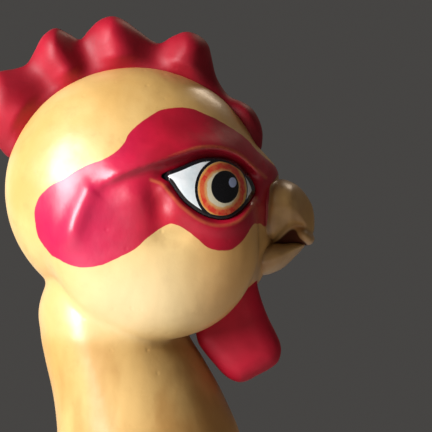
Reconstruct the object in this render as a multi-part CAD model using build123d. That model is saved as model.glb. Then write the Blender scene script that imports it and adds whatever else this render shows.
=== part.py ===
"""Hollow rubber chicken: a soft moulded skin in sections that flex on one another, with a
comb, beak, wattles and eyes bonded to the head and a reed squeaker in the vent.

Frame: +X is forward, where the beak points, +Y is the chicken's left and +Z is up.
The origin is the middle of the neck, where a hand holds the chicken so that it hangs.
Every length is in millimetres.

Where two sections flex, one ends in a ball round the pivot and the other in a cup
round that ball, with a flare cut back so that its rim clears the ball's own section.
"""

from build123d import *
import math
import os

# Skin
SKIN = 2.4              # wall of the moulded rubber
GAP = 0.4               # clearance between sections that move on each other
FLARE_MARGIN = 2        # degrees that a cup is cut back beyond its joint's travel

# Neck, the section that the hand holds
NECK_R = 24.5
NECK_PIVOT = 36         # head pivot above the origin, body pivot below it
AIRWAY_R = 9            # air passage through the balls and cups of the neck
HEAD_TILT = 42          # widest nod of the head, degrees
BODY_TILT = 45          # widest bend of the neck at the body, degrees

# Head, as level ellipses: height, centre forward, half length, half width
HEAD_SECTIONS = [
    (36, 0.0, 24.4, 24.4),
    (44, -0.6, 24.0, 23.6),
    (54, -5.2, 23.2, 22.0),
    (64, -9.0, 22.0, 21.6),
    (68, -6.5, 25.5, 23.6),
    (74, -4.6, 28.0, 25.6),
    (82, -2.4, 31.4, 27.4),
    (92, -1.4, 34.0, 28.0),
    (106, -2.4, 35.0, 26.8),
    (116, -2.6, 33.4, 25.0),
    (124, -3.4, 30.4, 21.8),
    (131, -4.0, 25.0, 17.4),
    (136, -4.2, 17.6, 12.0),
    (138.8, -4.2, 9.0, 6.0),
]
HEAD_TOP = HEAD_SECTIONS[-1][0]

# Comb: tips and notches of the blade, from nape to forehead, as (forward, height)
COMB_EDGE = [
    (-37, 112), (-43.5, 119), (-45, 130), (-41, 138), (-35.5, 137.5), (-31, 142),
    (-26, 149), (-21.5, 148), (-18, 145.6), (-14.5, 149.5), (-10, 152.6), (-5, 150.6),
    (2, 145.1), (6, 146.8), (10, 148.4), (14.5, 146.2), (17, 140), (19.4, 133.5),
    (23, 130.2), (27.4, 127.8), (30, 123), (30.4, 117),
]
COMB_ROOT = (0, 100)    # the two ends of the edge close through this point in the head
COMB_T = 8

# Beak: side profiles as (forward, height) and plan half widths
BEAK_ROOT_X = 24
BEAK_ROOT_HALF = 11.5
BEAK_TIP_HALF = 4.2
UPPER_CULMEN = [(30, 111), (34.3, 108.8), (40.8, 105.4), (44.4, 97.6), (42.9, 90.9)]
UPPER_TOMIUM = [(40.2, 93.2), (38.6, 95.1), (36, 93.4), (33, 91.8)]
LOWER_TOP_Z = 91.0
LOWER_FRONT_X = 41.2
LOWER_KEEL = [(39.9, 88.6), (35.6, 84.7), (29.6, 83.0)]
JAW_PIVOT = (29.0, 83.4)

# Eyes: the almond of the right eye, seen from its side, as (forward, height)
EYE_BACK = (3.8, 109.3)
EYE_TOP = (16.6, 113.7)
EYE_FRONT = (27.5, 105.5)
EYE_UNDER = (17.6, 97.9)
EYE_SEAT = 1.2          # depth of the seat in the skin
EYE_PROUD = 0.7         # height of the eye above the skin

# Wattles: one outline, hung on each side of the middle
WATTLE_EDGE = [
    (14, 79), (12.6, 66.6), (17.2, 59.1), (21.9, 54.6), (26.9, 54.9),
    (32.2, 57.8), (35.0, 63.4), (33.9, 67.6), (30, 75.5), (27, 83),
]
WATTLE_IN = 1.6         # inner face from the middle
WATTLE_OUT = 7.4        # outer face from the middle
WATTLE_PIVOT = (22, 78)
WATTLE_SWINGS = (-5, 0, 8, 16, 24, 33)  # swings, in degrees, that the top clears the head at

# Torso, as level ellipses: height, centre forward, half length, half width
TORSO_SECTIONS = [
    (-36, 0, 23.5, 23.5),
    (-54, 0.5, 25, 25),
    (-70, 2, 28, 28.5),
    (-86, 5, 36, 37),
    (-106, 8.5, 45, 47),
    (-134, 10, 51, 53.5),
    (-160, 6.5, 49.5, 53),
    (-184, 0, 44, 46),
    (-202, -5.5, 35, 33),
    (-216, -8, 26, 23),
    (-224, -8, 18, 17),
]
TORSO_END = TORSO_SECTIONS[-1]

# Wings: outline of the folded wing, as (forward, height), hugging the torso's side
WING_HINGE = (9, 43, -95)
WING_EDGE = [
    (24, -93), (29, -106), (24, -124), (8, -140), (-14, -154), (-34, -160),
    (-40, -153), (-33, -136), (-20, -118), (-9, -103), (-5, -93),
]
WING_CLEAR = 1.6        # gap to the torso
WING_T = 9
WING_ROOT_R = 4
WING_ROOT_LENGTH = 18
WING_TOP = -6           # the leaf's inner side starts this far from the hinge's height

# Legs
HIP = (-2, 38.5, -190)
HIP_R = 17.5
HIP_FORWARD = 60        # travel of the thigh forward and back, degrees
HIP_BACK = 35
RUMP_HALF = 20.6        # half width of the rump left between the legs
THIGH = 78              # hip to hock
THIGH_SECTIONS = [(-3, 17.2), (-26, 17.3), (-46, 14.6), (-62, 11.4), (-75, 10.2)]
HOCK_R = 10.5
SHANK = 70              # hock to ankle
SHANK_TOP_R = 7.2
SHANK_LOW_R = 6.2
ANKLE_R = 7.6

# Feet
TOE_PITCH = 42          # front toes below the horizontal, degrees
TOE_SPREAD = 27
TOE_LENGTH = 36
TOE_ROOT_R = 5
TOE_TIP_R = 2.8
HIND_TOE_LENGTH = 17
HIND_TOE_PITCH = 62

# Tail, a blunt cone on the back of the rump
TAIL_PIVOT = (-36, 0, -198)
TAIL_R = 10
TAIL_ROOT_R = 9.5
TAIL_LENGTH = 28
TAIL_TIP_R = 4.6
TAIL_PITCH = 42         # below the horizontal, degrees
TAIL_TILT = 20

# Squeaker, on the vent's axis
VENT_X = TORSO_END[1]
VENT_Z = TORSO_END[0]
COLLAR_R = 12
COLLAR_LENGTH = 7
HOUSING_R = 9.5
HOUSING_WALL = 1.2
HOUSING_LENGTH = 24
FLANGE_R = 12.5
FLANGE_T = 1.8
PORT_R = 2.0
PORT_LENGTH = 3.0
FIT = 0.05              # radial room between the squeaker's own parts
CAP_T = 2.0
REED_LENGTH = 15
REED_WIDTH = 4
REED_T = 0.4
BLOCK_LENGTH = 18
TROUGH_TOP = 15.2       # the slot's upper end, from the block's foot
TROUGH_DEPTH = 3
CLIP_LENGTH = 4
CLIP_T = 1.6


def level_loft(sections, grow=0.0):
    """A smooth solid through level ellipses, each grown by the same amount."""
    return loft([Pos(x, 0, z) * Ellipse(a + grow, b + grow) for z, x, a, b in sections])


def side_plate(edge, half, closing=None):
    """A plate of a side outline: a smooth edge closed by straight lines."""
    ends = [edge[-1], closing, edge[0]] if closing else [edge[-1], edge[0]]
    outline = [Spline(*[(x, 0, z) for x, z in edge]), Polyline(*[(x, 0, z) for x, z in ends])]
    return extrude(make_face(outline), half, dir=(0, 1, 0), both=True)


def flare(tilt, reach):
    """What a cup on the +Z side must lose so that its rim clears the ball's section."""
    rise = reach * math.tan(math.radians(tilt + FLARE_MARGIN))
    outline = Polyline((0, 0, 0), (reach, 0, rise), (reach, 0, -reach), (0, 0, -reach), close=True)
    return revolve(make_face(outline), Axis.Z)


def cupped(section, cavity, place, ball_r, tilt, reach):
    """A hollow section with a cup for a ball at the place, walled all round its cavity."""
    section = section - place * Sphere(ball_r + GAP) - place * flare(tilt, reach)
    wall = SKIN / math.cos(math.radians(tilt))
    cavity = cavity - place * Sphere(ball_r + GAP + SKIN) - place * Pos(0, 0, wall) * flare(
        tilt, reach + SKIN)
    return section, cavity


def only_solid(shape):
    """The largest solid of a shape, without slivers that a cut has left loose."""
    return max(shape.solids(), key=lambda s: s.volume)


def write(name, shape):
    """Writes one node to its file."""
    export_step(shape, os.path.join("parts", name + ".step"))


def head_outer(grow=0.0):
    """The head's outside, without comb or beak."""
    return level_loft(HEAD_SECTIONS, grow)


def eye_column():
    """The almond of the right eye, run through the side of the head."""
    upper = ThreePointArc(*[(x, 0, z) for x, z in (EYE_BACK, EYE_TOP, EYE_FRONT)])
    lower = ThreePointArc(*[(x, 0, z) for x, z in (EYE_FRONT, EYE_UNDER, EYE_BACK)])
    return extrude(make_face([upper, lower]), 45, dir=(0, -1, 0))


def make_head():
    """The head's hollow skin, with seats for the eyes and a cup for the neck's ball."""
    cavity = level_loft(HEAD_SECTIONS[:-1], -SKIN)
    outer, cavity = cupped(head_outer(), cavity, Pos(0, 0, NECK_PIVOT), NECK_R, HEAD_TILT, 60)
    skin = outer - cavity - Pos(0, 0, NECK_PIVOT + NECK_R) * Cylinder(AIRWAY_R, 12)
    seat = eye_column() - head_outer(-EYE_SEAT)
    return only_solid(skin - seat - mirror(seat, Plane.XZ))


def make_eye():
    """The right eye: a thin domed insert that fills its seat and stands a little proud."""
    return only_solid((eye_column() & head_outer(EYE_PROUD)) - head_outer(-EYE_SEAT))


def make_comb():
    """The comb's lobed blade, bonded along the top of the head."""
    return only_solid(side_plate(COMB_EDGE, COMB_T / 2, COMB_ROOT) - head_outer())


def beak_plan():
    """The beak's plan outline, run through the height of the head."""
    nose = UPPER_CULMEN[-2][0] + 1
    side = Polyline((nose, BEAK_TIP_HALF), (BEAK_ROOT_X, BEAK_ROOT_HALF),
                    (BEAK_ROOT_X, -BEAK_ROOT_HALF), (nose, -BEAK_TIP_HALF))
    front = ThreePointArc((nose, -BEAK_TIP_HALF), (nose + 1.5, 0), (nose, BEAK_TIP_HALF))
    return Pos(0, 0, 70) * extrude(make_face([side, front]), 60)


def make_upper_beak():
    """The hooked upper beak, bonded to the face."""
    culmen = Spline(*[(x, 0, z) for x, z in [(BEAK_ROOT_X, 112)] + UPPER_CULMEN])
    tomium = Spline(*[(x, 0, z) for x, z in [UPPER_CULMEN[-1]] + UPPER_TOMIUM])
    back = Polyline(*[(x, 0, z) for x, z in
                      [UPPER_TOMIUM[-1], (BEAK_ROOT_X, UPPER_TOMIUM[-1][1]), (BEAK_ROOT_X, 112)]])
    profile = extrude(make_face([culmen, tomium, back]), 20, both=True, dir=(0, 1, 0))
    return only_solid((profile & beak_plan()) - head_outer())


def make_lower_beak():
    """The lower beak, which clears the face and the upper beak."""
    keel = Spline(*[(x, 0, z) for x, z in [(LOWER_FRONT_X, LOWER_TOP_Z)] + LOWER_KEEL])
    back = Polyline(*[(x, 0, z) for x, z in
                      [LOWER_KEEL[-1], (BEAK_ROOT_X, LOWER_KEEL[-1][1]),
                       (BEAK_ROOT_X, LOWER_TOP_Z), (LOWER_FRONT_X, LOWER_TOP_Z)]])
    profile = extrude(make_face([keel, back]), 20, both=True, dir=(0, 1, 0))
    return only_solid((profile & beak_plan()) - head_outer(GAP))


def make_wattle():
    """The left wattle, a thick leaf that hangs under the jaw."""
    leaf = side_plate(WATTLE_EDGE, WATTLE_OUT) - Box(200, 2 * WATTLE_IN, 400)
    left = leaf & Pos(0, 50, 60) * Box(200, 100, 200)
    middle = (WATTLE_IN + WATTLE_OUT) / 2
    hinge = Axis((WATTLE_PIVOT[0], middle, WATTLE_PIVOT[1]), (1, 0, 0))
    head = head_outer(GAP)
    for swing in WATTLE_SWINGS:
        left -= head.rotate(hinge, -swing)
    return only_solid(left)


def make_neck():
    """The neck's hollow skin, with a ball at each end and an airway through both."""
    def capsule(radius):
        shaft = Cylinder(radius, 2 * NECK_PIVOT)
        return shaft + Pos(0, 0, NECK_PIVOT) * Sphere(radius) + Pos(0, 0, -NECK_PIVOT) * Sphere(radius)
    return capsule(NECK_R) - capsule(NECK_R - SKIN) - Cylinder(AIRWAY_R, 4 * NECK_PIVOT)


def hip_room(grow=0.0):
    """The room that the left thigh swings in beside the rump, widened by a wall."""
    r = HIP_R + GAP + grow
    forward, back = math.radians(HIP_FORWARD), math.radians(HIP_BACK)
    front = Vector(math.cos(forward), 0, math.sin(forward)) * r
    rear = Vector(-math.cos(back), 0, math.sin(back)) * r
    front_end = front + Vector(math.sin(forward), 0, -math.cos(forward)) * 90
    rear_end = rear + Vector(-math.sin(back), 0, -math.cos(back)) * 90
    sweep = Polyline(rear, front, front_end, rear_end, close=True)
    wedge = Pos(0, RUMP_HALF - grow - HIP[1], 0) * extrude(make_face(sweep), 60, dir=(0, 1, 0))
    return Pos(*HIP) * (Sphere(r) + wedge)


def wing_root(grow=0.0):
    """The rod at the left wing's hinge."""
    return Pos(*WING_HINGE) * Rot(0, 90, 0) * Cylinder(WING_ROOT_R + grow, WING_ROOT_LENGTH + 2 * grow)


def make_torso():
    """The torso's hollow skin, with cups for the neck, thighs, wings and tail, and the vent."""
    outer = level_loft(TORSO_SECTIONS)
    cavity = level_loft(TORSO_SECTIONS[:-1], -SKIN)
    neck = Pos(0, 0, -NECK_PIVOT) * Rot(180, 0, 0)
    outer, cavity = cupped(outer, cavity, neck, NECK_R, BODY_TILT, 70)
    tail = Pos(*TAIL_PIVOT) * Rot(0, 90 - TAIL_PITCH, 0)
    outer, cavity = cupped(outer, cavity, tail, TAIL_R, TAIL_TILT, TAIL_R + 4)
    for clear, walled in ((hip_room(), hip_room(SKIN)), (wing_root(GAP), wing_root(SKIN))):
        outer = outer - clear - mirror(clear, Plane.XZ)
        cavity = cavity - walled - mirror(walled, Plane.XZ)
    skin = outer - cavity - Pos(0, 0, -NECK_PIVOT - NECK_R) * Cylinder(AIRWAY_R, 12)
    return only_solid(skin - Pos(VENT_X, 0, VENT_Z) * Cylinder(COLLAR_R, 3 * COLLAR_LENGTH))


def make_wing():
    """The left wing, a folded leaf that hugs the torso below a rounded root.

    Above the hinge the leaf keeps outside it, so that nothing turns into the torso.
    """
    layer = level_loft(TORSO_SECTIONS, WING_CLEAR + WING_T) - level_loft(TORSO_SECTIONS, WING_CLEAR)
    outline = extrude(make_face([Spline(*[(x, 0, z) for x, z in WING_EDGE]),
                                 Line((WING_EDGE[-1][0], 0, WING_EDGE[-1][1]),
                                      (WING_EDGE[0][0], 0, WING_EDGE[0][1]))]), 90, dir=(0, 1, 0))
    x, y, z = WING_HINGE
    inside = Pos(x, y - 20 + WING_CLEAR / 2, z + 20 + WING_TOP) * Box(100, 40, 40)
    return only_solid(only_solid((outline & layer) - inside) + wing_root())


def make_thigh():
    """The left thigh's hollow skin: hip ball, drumstick and hock ball."""
    x, y, z = HIP

    def drumstick(grow):
        hip = Pos(x, y, z) * Sphere(HIP_R + grow)
        rings = [Pos(x, y, z + dz) * Circle(r + grow) for dz, r in THIGH_SECTIONS]
        hock = Pos(x, y, z - THIGH) * Sphere(HOCK_R + grow)
        return hip + loft(rings) + hock
    return only_solid(drumstick(0) - drumstick(-SKIN))


def make_shank():
    """The left shank, cupped under the hock and ending in the ankle's ball."""
    x, y, z = HIP
    top, end = z - THIGH, z - THIGH - SHANK
    rod = loft([Pos(x, y, top - 2) * Circle(SHANK_TOP_R), Pos(x, y, end) * Circle(SHANK_LOW_R)])
    ankle = Pos(x, y, end) * Sphere(ANKLE_R)
    return only_solid(rod + ankle - Pos(x, y, top) * Sphere(HOCK_R + GAP))


def toe(yaw, pitch, length, root_r, tip_r):
    """One toe from the foot's middle, a tapered rod with a round end."""
    rod = loft([Circle(root_r), Pos(0, 0, length) * Circle(tip_r)])
    tip = Pos(0, 0, length) * Sphere(tip_r)
    return Rot(0, 0, yaw) * Rot(0, 90 + pitch, 0) * (rod + tip)


def make_foot():
    """The left foot: three front toes and a hind toe, cupped under the ankle's ball."""
    x, y, z = HIP
    ankle = z - THIGH - SHANK
    root = ANKLE_R + 3.5
    foot = Sphere(TOE_ROOT_R + 1.2)
    for yaw in (-TOE_SPREAD, 0, TOE_SPREAD):
        foot += toe(yaw, TOE_PITCH, TOE_LENGTH, TOE_ROOT_R, TOE_TIP_R)
    foot += toe(180, HIND_TOE_PITCH, HIND_TOE_LENGTH, TOE_ROOT_R - 0.8, TOE_TIP_R)
    return only_solid(Pos(x, y, ankle - root) * foot - Pos(x, y, ankle) * Sphere(ANKLE_R + GAP))


def make_tail():
    """The tail, a blunt cone that points back and down from its ball."""
    root = Pos(0, 0, TAIL_R - TAIL_ROOT_R) * Circle(TAIL_ROOT_R)
    cone = loft([root, Pos(0, 0, TAIL_LENGTH) * Circle(TAIL_TIP_R)])
    cone += Pos(0, 0, TAIL_LENGTH) * Sphere(TAIL_TIP_R)
    return only_solid(Pos(*TAIL_PIVOT) * (Sphere(TAIL_R) + Rot(0, -90 - TAIL_PITCH, 0) * cone))


def on_vent(height, shape):
    """Places a shape on the vent's axis, its foot at a height above the vent's face."""
    return Pos(VENT_X, 0, VENT_Z + height) * shape


def rod(radius, length):
    """An upright cylinder that stands on its foot."""
    return Pos(0, 0, length / 2) * Cylinder(radius, length)


def make_collar():
    """The rubber collar bonded in the vent, which grips the squeaker."""
    return on_vent(0, rod(COLLAR_R, COLLAR_LENGTH) - rod(HOUSING_R + FIT, COLLAR_LENGTH))


def make_housing():
    """The squeaker's cup, with its flange outside the vent and the sound port in its end."""
    cup = rod(HOUSING_R, HOUSING_LENGTH) - Pos(0, 0, PORT_LENGTH - FLANGE_T) * rod(
        HOUSING_R - HOUSING_WALL, HOUSING_LENGTH)
    flange = Pos(0, 0, -FLANGE_T) * rod(FLANGE_R, FLANGE_T)
    return on_vent(0, cup + flange - Pos(0, 0, -FLANGE_T) * rod(PORT_R, PORT_LENGTH))


def make_cap():
    """The cap over the housing's inner end, with its own air hole."""
    plug_r = HOUSING_R - HOUSING_WALL - FIT
    cap = Pos(0, 0, HOUSING_LENGTH) * rod(HOUSING_R, CAP_T) + Pos(0, 0, HOUSING_LENGTH - CAP_T) * rod(
        plug_r, CAP_T)
    return on_vent(0, cap - Pos(0, 0, HOUSING_LENGTH - CAP_T) * rod(PORT_R, 2 * CAP_T))


def block_foot():
    """Height of the reed block's foot above the vent's face."""
    return PORT_LENGTH - FLANGE_T + FIT


def make_reed_block():
    """The half-round block whose slot the reed beats over."""
    block_r = HOUSING_R - HOUSING_WALL - FIT
    half = rod(block_r, BLOCK_LENGTH) & Pos(-block_r, 0, BLOCK_LENGTH / 2) * Box(
        2 * block_r, 2 * block_r, BLOCK_LENGTH)
    trough = Box(2 * TROUGH_DEPTH, REED_WIDTH + 2 * GAP, 2 * TROUGH_TOP)
    return on_vent(block_foot(), half - trough)


def make_reed():
    """The reed: a springy strip, held at its upper end and free over the trough."""
    strip = Pos(REED_T / 2 + FIT, 0, BLOCK_LENGTH - REED_LENGTH / 2 - 0.5) * Box(
        REED_T, REED_WIDTH, REED_LENGTH)
    return on_vent(block_foot(), strip)


def make_reed_clip():
    """The clip that holds the reed's upper end against its block."""
    face = 2 * FIT + REED_T
    clip = Pos(face + CLIP_T / 2, 0, BLOCK_LENGTH - CLIP_LENGTH / 2) * Box(
        CLIP_T, REED_WIDTH + 5, CLIP_LENGTH)
    legs = Pos(face / 2, 0, BLOCK_LENGTH - CLIP_LENGTH / 2) * (
        Box(face, REED_WIDTH + 5, CLIP_LENGTH) - Box(face, REED_WIDTH + 2 * FIT, CLIP_LENGTH))
    return on_vent(block_foot(), clip + legs)


def main():
    os.makedirs("parts", exist_ok=True)
    write("head_skin", make_head())
    write("comb", make_comb())
    write("upper_beak", make_upper_beak())
    write("lower_beak", make_lower_beak())
    write("neck_skin", make_neck())
    write("torso_skin", make_torso())
    write("tail", make_tail())
    write("vent_collar", make_collar())
    write("squeaker_housing", make_housing())
    write("squeaker_cap", make_cap())
    write("reed_block", make_reed_block())
    write("reed", make_reed())
    write("reed_clip", make_reed_clip())
    right = make_eye()
    write("eye_right", right)
    write("eye_left", mirror(right, Plane.XZ))
    pairs = {
        "wattle": make_wattle(),
        "wing": make_wing(),
        "thigh_skin": make_thigh(),
        "shank": make_shank(),
        "foot": make_foot(),
    }
    for name, left in pairs.items():
        write(name + "_left", left)
        write(name + "_right", mirror(left, Plane.XZ))


main()
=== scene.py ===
"""Looks of the hollow rubber chicken. The skins are sculpted as distance fields in
millimetres, meshed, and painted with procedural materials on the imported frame."""
import itertools
import math

import bmesh
import bpy
import numpy as np
import openvdb
from mathutils import Matrix, Vector


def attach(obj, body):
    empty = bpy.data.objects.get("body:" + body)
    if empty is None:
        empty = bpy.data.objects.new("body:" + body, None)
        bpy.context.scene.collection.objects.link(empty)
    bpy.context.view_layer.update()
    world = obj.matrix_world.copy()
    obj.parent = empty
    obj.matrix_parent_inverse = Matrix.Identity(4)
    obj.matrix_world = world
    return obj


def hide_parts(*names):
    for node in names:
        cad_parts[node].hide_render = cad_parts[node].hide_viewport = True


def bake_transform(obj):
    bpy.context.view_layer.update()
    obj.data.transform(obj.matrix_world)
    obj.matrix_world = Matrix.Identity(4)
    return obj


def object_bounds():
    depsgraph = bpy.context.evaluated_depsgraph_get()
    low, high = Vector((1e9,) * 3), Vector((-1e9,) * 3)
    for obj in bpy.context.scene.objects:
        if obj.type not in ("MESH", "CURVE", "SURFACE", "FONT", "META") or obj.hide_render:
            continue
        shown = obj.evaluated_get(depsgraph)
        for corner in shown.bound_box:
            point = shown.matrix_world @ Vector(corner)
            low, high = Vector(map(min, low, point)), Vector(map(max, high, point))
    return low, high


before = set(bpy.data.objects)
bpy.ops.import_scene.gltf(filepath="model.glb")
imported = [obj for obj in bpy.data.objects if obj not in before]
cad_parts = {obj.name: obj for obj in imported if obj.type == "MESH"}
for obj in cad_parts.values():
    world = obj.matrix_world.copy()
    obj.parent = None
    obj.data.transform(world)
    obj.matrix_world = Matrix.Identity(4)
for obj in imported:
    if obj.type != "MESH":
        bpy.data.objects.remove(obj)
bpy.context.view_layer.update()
MM = 0.001
NOISE = np.random.default_rng(7)
FAR = 9.0           # what a painted distance reads on points that its mark never reaches


def grid_step(fine):
    return fine


# ---------------------------- clay on a grid

def smooth(t):
    """Smoothstep of values already scaled to 0..1."""
    t = np.clip(t, 0.0, 1.0)
    return t * t * (3 - 2 * t)


def join(a, b, k):
    """Smooth union of two distance fields."""
    h = np.clip(0.5 + 0.5 * (b - a) / k, 0.0, 1.0)
    return b + (a - b) * h - k * h * (1 - h)


def cut(a, b, k):
    """Smooth subtraction of b from a."""
    return -join(-a, b, k)


def hump(distance, width):
    """A bell of height 1 that falls to 0.37 at this distance."""
    return np.exp(-(distance / width) ** 2)


def rounded(points, closed=True, steps=8):
    """A Catmull-Rom curve through the points, as an array."""
    p = np.array(points, dtype=float)
    n = len(p)
    out = []
    for i in range(n if closed else n - 1):
        if closed:
            a, b, c, d = p[i - 1], p[i], p[(i + 1) % n], p[(i + 2) % n]
        else:
            a, b, c, d = p[max(i - 1, 0)], p[i], p[i + 1], p[min(i + 2, n - 1)]
        for t in np.arange(steps) / steps:
            out.append(0.5 * (2 * b + (c - a) * t + (2 * a - 5 * b + 4 * c - d) * t * t
                              + (3 * b - a - 3 * c + d) * t ** 3))
    if not closed:
        out.append(p[-1])
    return np.array(out)


def line_distance(curve, x, z, closed=False):
    """Distance from each (x, z) to a curve, and how far along it, 0 to 1."""
    shape = np.broadcast(x, z).shape
    x = np.broadcast_to(x, shape).ravel()
    z = np.broadcast_to(z, shape).ravel()
    best = np.full(x.size, 1e9)
    along = np.zeros(x.size)
    ends = np.roll(curve, -1, axis=0) if closed else curve[1:]
    starts = curve if closed else curve[:-1]
    for i, (p, q) in enumerate(zip(starts, ends)):
        dx, dz = q - p
        length2 = max(dx * dx + dz * dz, 1e-9)
        t = np.clip(((x - p[0]) * dx + (z - p[1]) * dz) / length2, 0, 1)
        d = (x - p[0] - t * dx) ** 2 + (z - p[1] - t * dz) ** 2
        closer = d < best
        best = np.where(closer, d, best)
        along = np.where(closer, (i + t) / len(starts), along)
    return np.sqrt(best).reshape(shape), along.reshape(shape)


def area_distance(outline, x, z):
    """Signed distance from each (x, z) to a closed outline, negative inside."""
    d, _ = line_distance(outline, x, z, closed=True)
    inside = np.zeros(d.shape, dtype=bool)
    for p, q in zip(outline, np.roll(outline, -1, axis=0)):
        crosses = (p[1] > z) != (q[1] > z)
        if crosses.any():
            at = p[0] + (z - p[1]) * (q[0] - p[0]) / (q[1] - p[1] if q[1] != p[1] else 1e-9)
            inside ^= crosses & (x < at)
    return np.where(inside, -d, d)


def leaf(edge, across, half, rim):
    """A pillow on an outline: across is the distance from its middle sheet, half its half
    thickness and rim the width of its rounding."""
    a = np.maximum(0, 1 + edge / rim)
    b = across / half
    ratio = np.maximum(np.sqrt(a ** 2 + b ** 2), 0.01)
    slope = np.sqrt((a / rim) ** 2 + (b / half) ** 2)
    return (ratio - 1) * ratio / np.maximum(slope, 1e-3)


class Clay:
    """A block of clay: points of a grid in millimetres, with shapes to build it from."""

    def __init__(self, low, high, step):
        self.low = np.array(low, float)
        self.step = step
        axes = [np.arange(start, end + step, step) for start, end in zip(low, high)]
        self.x = axes[0][:, None, None]
        self.y = axes[1][None, :, None]
        self.z = axes[2][None, None, :]
        self.shape = tuple(len(axis) for axis in axes)

    def ball(self, centre, radii, turn=0.0):
        """An ellipsoid, turned about Y by degrees."""
        x, y, z = self.x - centre[0], self.y - centre[1], self.z - centre[2]
        if turn:
            c, s = math.cos(math.radians(turn)), math.sin(math.radians(turn))
            x, z = x * c - z * s, x * s + z * c
        a, b, c = radii
        ratio = np.sqrt((x / a) ** 2 + (y / b) ** 2 + (z / c) ** 2)
        slope = np.sqrt((x / a ** 2) ** 2 + (y / b ** 2) ** 2 + (z / c ** 2) ** 2)
        return ratio * (ratio - 1) / np.maximum(slope, 1e-6)

    def limb(self, a, b, ra, rb):
        """A tapered rod with round ends."""
        a, b = np.array(a, float), np.array(b, float)
        way = b - a
        x, y, z = self.x - a[0], self.y - a[1], self.z - a[2]
        t = np.clip((x * way[0] + y * way[1] + z * way[2]) / (way @ way), 0, 1)
        away = np.sqrt((x - t * way[0]) ** 2 + (y - t * way[1]) ** 2 + (z - t * way[2]) ** 2)
        return away - (ra + (rb - ra) * t)

    def stack(self, sections, middle=0.0):
        """A body through level ellipses: height, centre forward, half length, half width."""
        curve = rounded(sorted(sections), closed=False, steps=24)
        heights = curve[:, 0]
        z = self.z.ravel()
        centre, a, b = (np.interp(z, heights, curve[:, i])[None, None, :] for i in (1, 2, 3))
        ratio = np.sqrt(((self.x - centre) / a) ** 2 + ((self.y - middle) / b) ** 2)
        slope = np.sqrt(sum(part ** 2 for part in np.gradient(ratio, self.step)))
        field = (ratio - 1) / np.maximum(slope, 0.004)
        return np.maximum(field, np.maximum(heights[0] - self.z, self.z - heights[-1]))

    def side_grid(self):
        """The grid's x and z seen from the side."""
        return np.broadcast_arrays(self.x[:, 0, :], self.z[0, 0, :][None, :])

    def side(self, outline):
        """Signed distance to an outline seen from the side, the same at every width."""
        return area_distance(outline, *self.side_grid())[:, None, :]

    def near(self, curve, width):
        """A bell across a curve seen from the side, the same at every width."""
        return hump(line_distance(curve, *self.side_grid())[0], width)[:, None, :]

    def mirror(self, field):
        """The whole field from its half at positive Y; the block grows to match."""
        rows = self.shape[1]
        self.low[1] = -(rows - 1) * self.step
        self.shape = (self.shape[0], 2 * rows - 1, self.shape[2])
        return np.concatenate([field[:, :0:-1, :], field], axis=1)

    def mesh(self, field, name):
        """A smooth object from the field's zero surface."""
        band = 3 * self.step
        grid = openvdb.FloatGrid(band)
        block = np.clip(np.broadcast_to(field, self.shape), -band, band)
        grid.copyFromArray(np.ascontiguousarray(block, dtype=np.float32))
        grid.gridClass = openvdb.GridClass.LEVEL_SET
        points, quads = grid.convertToQuads()
        points = (points * self.step + self.low) * MM
        return build(name, points, quads[:, ::-1])


def add_object(name, data):
    """A new object in the scene with this mesh, lamp or camera."""
    obj = bpy.data.objects.new(name, data)
    bpy.context.scene.collection.objects.link(obj)
    return obj


def build(name, points, faces):
    """A smooth-shaded object of points in metres, with points that coincide made one."""
    mesh = bpy.data.meshes.new(name)
    mesh.from_pydata(np.asarray(points).tolist(), [], np.asarray(faces).tolist())
    shell = bmesh.new()
    shell.from_mesh(mesh)
    bmesh.ops.remove_doubles(shell, verts=shell.verts, dist=1e-7)
    shell.to_mesh(mesh)
    shell.free()
    mesh.validate()
    mesh.shade_smooth()
    return add_object(name, mesh)


def points_of(obj):
    """The object's points in millimetres, one row each."""
    n = len(obj.data.vertices)
    co = np.empty(n * 3, np.float32)
    obj.data.vertices.foreach_get("co", co)
    return co.reshape(n, 3) / MM


def mark(obj, name, values):
    """Stores a number for each point, or one for all, for the material to read."""
    layer = obj.data.attributes.new(name, "FLOAT", "POINT")
    values = np.broadcast_to(values, len(obj.data.vertices))
    layer.data.foreach_set("value", np.ascontiguousarray(values, dtype=np.float32))


def push_out(obj, amounts):
    """Moves each point of the object along its normal, by millimetres."""
    p = points_of(obj)
    normals = np.empty(p.size, np.float32)
    obj.data.vertex_normals.foreach_get("vector", normals)
    p = p + normals.reshape(p.shape) * amounts[:, None]
    obj.data.vertices.foreach_set("co", (p * MM).astype(np.float32).ravel())
    obj.data.update()


def dent(obj, low, high, count, reach, depth):
    """The soft unevenness of a hollow moulding: seeded dents and swellings in a box, in mm."""
    centres = NOISE.uniform(low, high, (count, 3))
    reaches = NOISE.uniform(reach[0], reach[1], count)
    depths = NOISE.uniform(-depth, depth, count)
    p = points_of(obj)
    out = np.zeros(len(p))
    for centre, wide, deep in zip(centres, reaches, depths):
        out -= deep * np.exp(-((p - centre) ** 2).sum(axis=1) / (2 * wide ** 2))
    push_out(obj, out)


def on_side(obj, side):
    """The object, which is made on the left, mirrored if it belongs on the right."""
    if side == "right":
        obj.data.transform(Matrix.Scale(-1, 4, (0, 1, 0)))
        obj.data.flip_normals()
    return obj


# ---------------------------- head, in millimetres

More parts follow.
